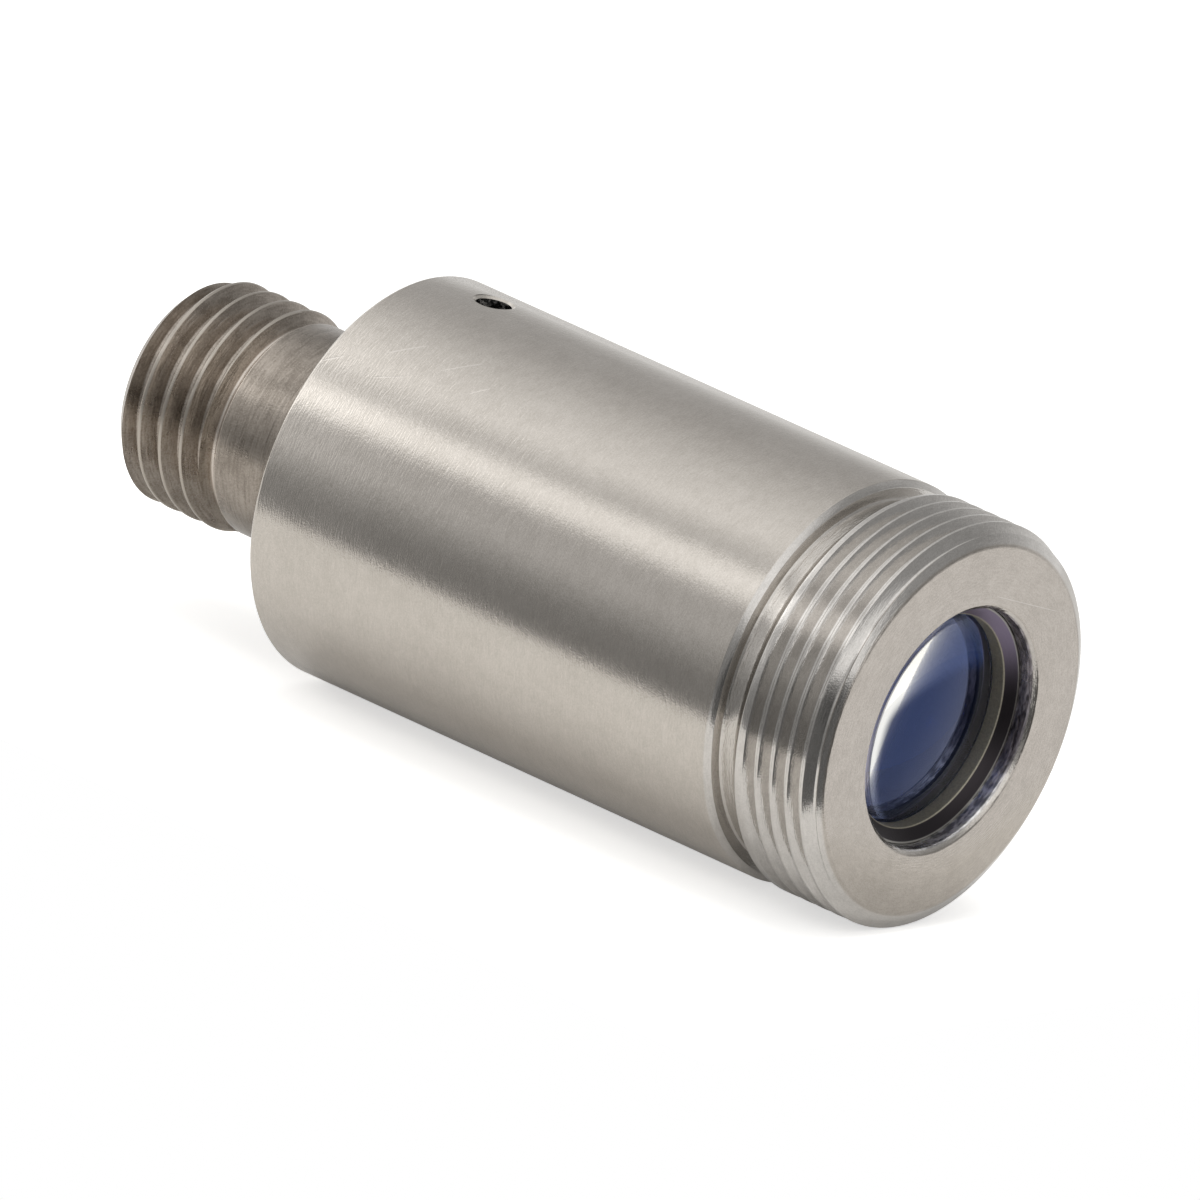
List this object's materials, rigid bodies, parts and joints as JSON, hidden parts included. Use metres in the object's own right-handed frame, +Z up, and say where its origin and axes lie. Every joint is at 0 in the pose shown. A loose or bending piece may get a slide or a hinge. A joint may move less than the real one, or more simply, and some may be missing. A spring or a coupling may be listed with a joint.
{
  "type": "fibre collimator",
  "caption": "Fixed-focus fibre collimator: round barrel with a threaded front, a coated lens behind the aperture and a threaded fibre receptacle at the rear.",
  "frame": {"origin": "on the optical axis, in the plane of the shoulder where the barrel meets the front thread's undercut", "axes": "+X along the optical axis, the way the collimated beam leaves; +Z up, through the set screw; +Y completes the frame"},
  "size_m": [0.0259, 0.011, 0.011],
  "materials": {
    "barrel_steel": "satin turned stainless steel",
    "coated_glass": "polished, blue-violet anti-reflection coating",
    "ring_steel": "fine turned",
    "receptacle_steel": "turned stainless steel, a little darker than the barrel",
    "screw_steel": "plain stainless steel"
  },
  "bodies": {
    "root": {"housing": "barrel_steel", "aspheric_lens": "coated_glass", "lens_retaining_ring": "ring_steel", "fibre_receptacle": "receptacle_steel", "set_screw": "screw_steel"}
  },
  "joints": []
}
